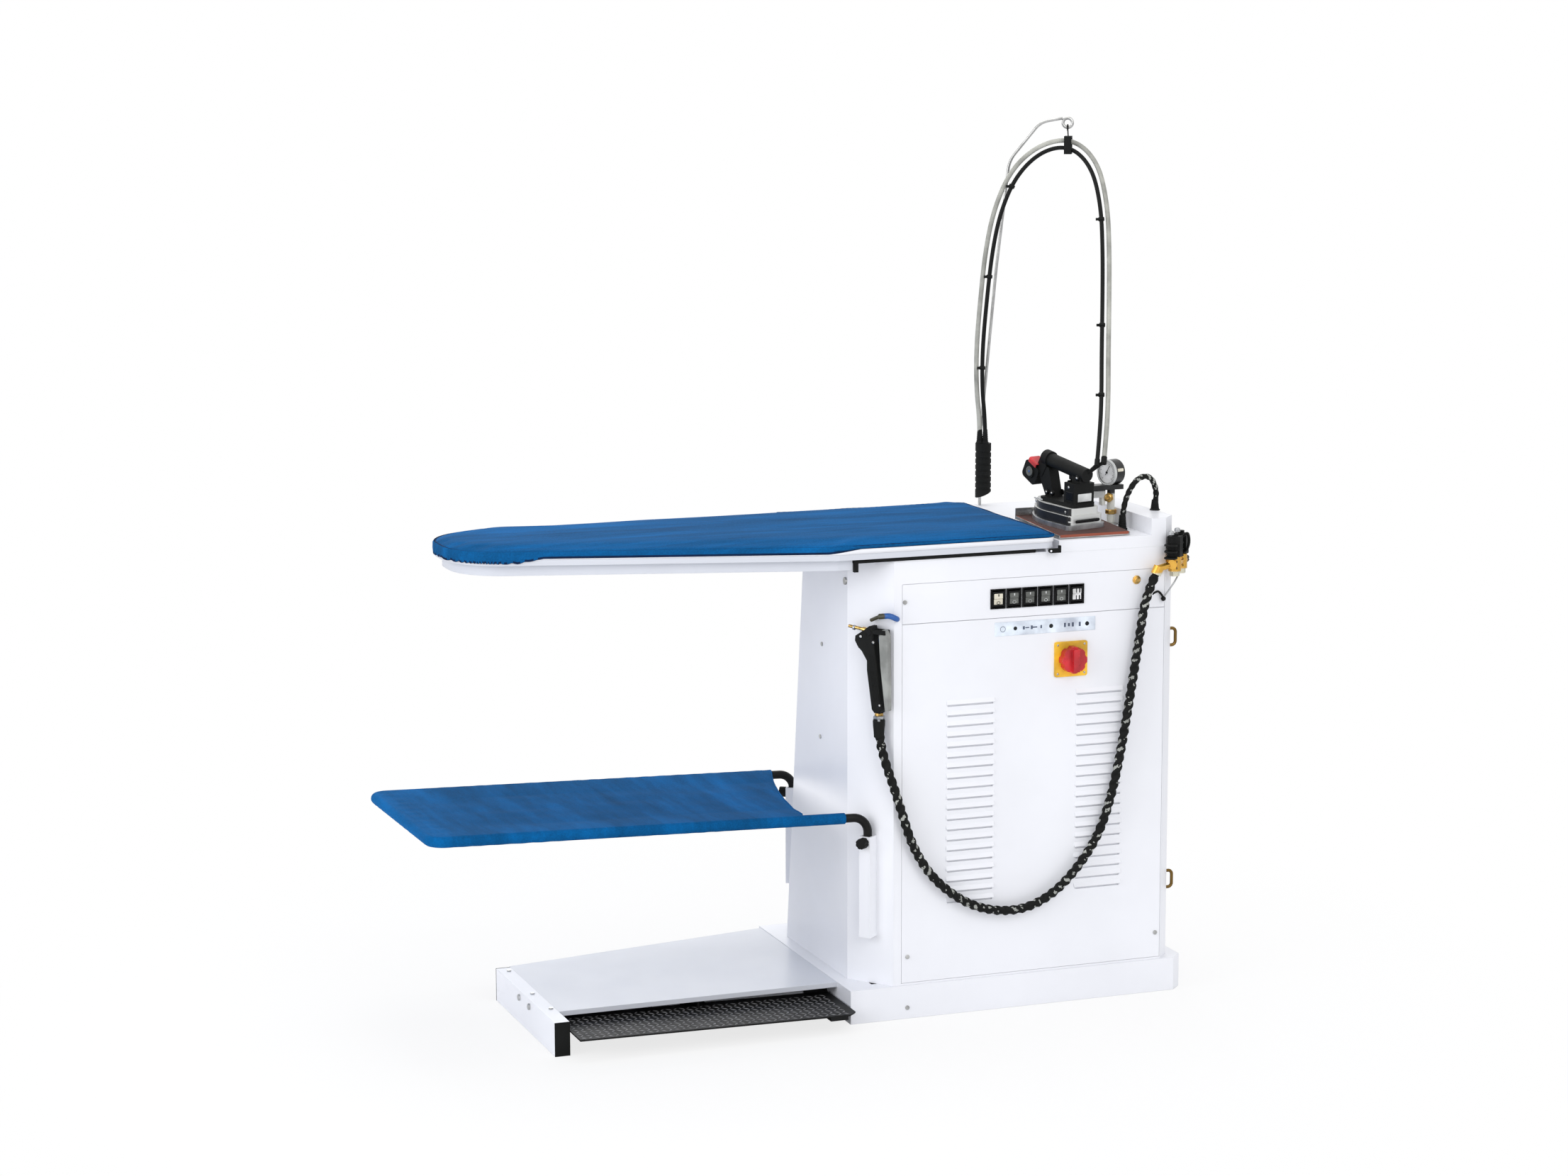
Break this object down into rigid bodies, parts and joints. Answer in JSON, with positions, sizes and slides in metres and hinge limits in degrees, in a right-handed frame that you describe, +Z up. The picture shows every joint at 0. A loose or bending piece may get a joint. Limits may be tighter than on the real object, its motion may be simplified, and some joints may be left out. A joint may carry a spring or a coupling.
{
  "type": "ironing table",
  "caption": "Vacuum ironing table: padded suction board on a cabinet with boiler, steam iron, steam gun, foot pedal and linen tray.",
  "frame": {"origin": "middle of the machine's footprint, without its cords, on the floor", "axes": "+X to the operator's right, from the board's nose to the cabinet; +Y away from the operator; +Z up"},
  "size_m": [1.4806, 0.545, 1.635],
  "materials": {
    "white_paint": "smooth powder coat",
    "black_paint": "satin",
    "tread_black": "rolled tread pattern",
    "zinc_steel": "zinc plated",
    "bright_steel": "bright",
    "chrome": "polished",
    "alloy": "cast",
    "brass": "plain",
    "dark_brass": "aged",
    "black_plastic": "matt",
    "gloss_black": "gloss",
    "grey_rocker": "gloss",
    "ivory_rocker": "gloss",
    "white_rocker": "gloss",
    "tank_plastic": "translucent",
    "box_grey": "matt",
    "yellow_plastic": "gloss",
    "red_plastic": "gloss",
    "blue_plastic": "gloss",
    "blue_cloth": "plain weave",
    "foam": "open foam",
    "black_rubber": "matt",
    "grey_rubber": "smooth",
    "mat_rubber": "matt"
  },
  "bodies": {
    "machine": {"base_pan": "white_paint", "leg_frame": "white_paint", "leg_cover": "white_paint", "leg_end_caps": "black_plastic", "pedal_switch": "black_plastic", "cabinet_shell": "white_paint", "front_panel": "white_paint", "control_strip": "white_paint", "back_panel": "white_paint", "side_panel": "white_paint", "cord_hooks": "dark_brass", "deck": "white_paint", "suction_box": "white_paint", "perforated_plate": "zinc_steel", "board_pad": "foam", "board_cover": "blue_cloth", "board_gasket": "black_rubber", "suction_duct": "zinc_steel", "suction_motor": "box_grey", "boiler": "bright_steel", "feed_tank": "tank_plastic", "control_box": "box_grey", "tray_guides": "white_paint", "switch_frame": "gloss_black", "main_switch_plate": "yellow_plastic", "gun_hook": "blue_plastic", "gun_body": "black_plastic", "gun_nozzle": "brass", "valve_bodies": "brass", "valve_coils": "black_plastic", "hanger_rod": "bright_steel", "hose_grips": "black_rubber", "iron_rest": "bright_steel", "iron_mat": "mat_rubber", "iron_soleplate": "alloy", "iron_body": "chrome", "iron_handle": "black_plastic", "pressure_gauge": "black_plastic", "gun_hose": "black_rubber", "iron_hose": "grey_rubber", "iron_cable": "black_rubber", "loop_cable": "black_rubber", "screws": "bright_steel"},
    "pedal": {"foot_pedal": "tread_black"},
    "latch": {"board_latch": "black_plastic"},
    "impeller": {"suction_impeller": "alloy"},
    "tray": {"tray_frame": "black_paint", "tray_cloth": "blue_cloth"},
    "knob_front": {"tray_knob_front": "black_plastic"},
    "knob_rear": {"tray_knob_rear": "black_plastic"},
    "main_switch": {"main_switch_knob": "red_plastic"},
    "trigger": {"gun_trigger": "bright_steel"},
    "valve": {"valve_knob": "black_plastic"},
    "button": {"iron_button": "red_plastic"},
    "key_1": {"rocker_1": "ivory_rocker"},
    "key_2": {"rocker_2": "grey_rocker"},
    "key_3": {"rocker_3": "grey_rocker"},
    "key_4": {"rocker_4": "grey_rocker"},
    "key_5": {"rocker_5": "grey_rocker"},
    "key_6": {"rocker_6": "white_rocker"}
  },
  "joints": [
    {"name": "pedal_press", "type": "hinge", "parent": "machine", "child": "pedal", "pos_m": [-0.22395, -0.1025, 0.034], "axis": [1, 0, 0], "range_deg": [0, 7], "stiffness_Nm_per_rad": 20, "springref_deg": -14.32},
    {"name": "latch_swing", "type": "hinge", "parent": "machine", "child": "latch", "pos_m": [0.43505, -0.2255, 0.861], "axis": [0, 1, 0], "range_deg": [0, 90]},
    {"name": "impeller_spin", "type": "hinge", "parent": "machine", "child": "impeller", "pos_m": [0.23505, 0.0625, 0.28], "axis": [0, 0, 1], "continuous": true},
    {"name": "tray_height", "type": "slide", "parent": "machine", "child": "tray", "axis": [0, 0, 1], "range_m": [0, 0.12]},
    {"name": "knob_front_turn", "type": "hinge", "parent": "machine", "child": "knob_front", "pos_m": [0.09158, -0.18819, 0.334], "axis": [-0.7964, -0.6048, 0], "range_deg": [0, 270]},
    {"name": "knob_rear_turn", "type": "hinge", "parent": "machine", "child": "knob_rear", "pos_m": [0.1049, 0.24084, 0.334], "axis": [-0.817, 0.5767, 0], "range_deg": [0, 270]},
    {"name": "main_switch_turn", "type": "hinge", "parent": "machine", "child": "main_switch", "pos_m": [0.48205, -0.2225, 0.655], "axis": [0, -1, 0], "range_deg": [0, 90]},
    {"name": "trigger_squeeze", "type": "hinge", "parent": "machine", "child": "trigger", "pos_m": [0.11095, -0.22245, 0.729], "axis": [0.7964, 0.6048, 0], "range_deg": [0, 2], "stiffness_Nm_per_rad": 3, "springref_deg": -5.73},
    {"name": "valve_turn", "type": "hinge", "parent": "machine", "child": "valve", "pos_m": [0.70075, -0.2182, 0.823], "axis": [0.6794, 0.7338, 0], "range_deg": [0, 270]},
    {"name": "button_press", "type": "slide", "parent": "machine", "child": "button", "axis": [-0.0988, 0.4532, -0.8859], "range_m": [0, 0.003], "stiffness_N_per_m": 800, "springref_m": -0.003},
    {"name": "key_1_rock", "type": "hinge", "parent": "machine", "child": "key_1", "pos_m": [0.33505, -0.2149, 0.776], "axis": [-1, 0, 0], "range_deg": [0, 10]},
    {"name": "key_2_rock", "type": "hinge", "parent": "machine", "child": "key_2", "pos_m": [0.36665, -0.2149, 0.776], "axis": [-1, 0, 0], "range_deg": [0, 10]},
    {"name": "key_3_rock", "type": "hinge", "parent": "machine", "child": "key_3", "pos_m": [0.39825, -0.2149, 0.776], "axis": [-1, 0, 0], "range_deg": [0, 10]},
    {"name": "key_4_rock", "type": "hinge", "parent": "machine", "child": "key_4", "pos_m": [0.42985, -0.2149, 0.776], "axis": [-1, 0, 0], "range_deg": [0, 10]},
    {"name": "key_5_rock", "type": "hinge", "parent": "machine", "child": "key_5", "pos_m": [0.46145, -0.2149, 0.776], "axis": [-1, 0, 0], "range_deg": [0, 10]},
    {"name": "key_6_rock", "type": "hinge", "parent": "machine", "child": "key_6", "pos_m": [0.49305, -0.2149, 0.776], "axis": [-1, 0, 0], "range_deg": [0, 10]}
  ]
}
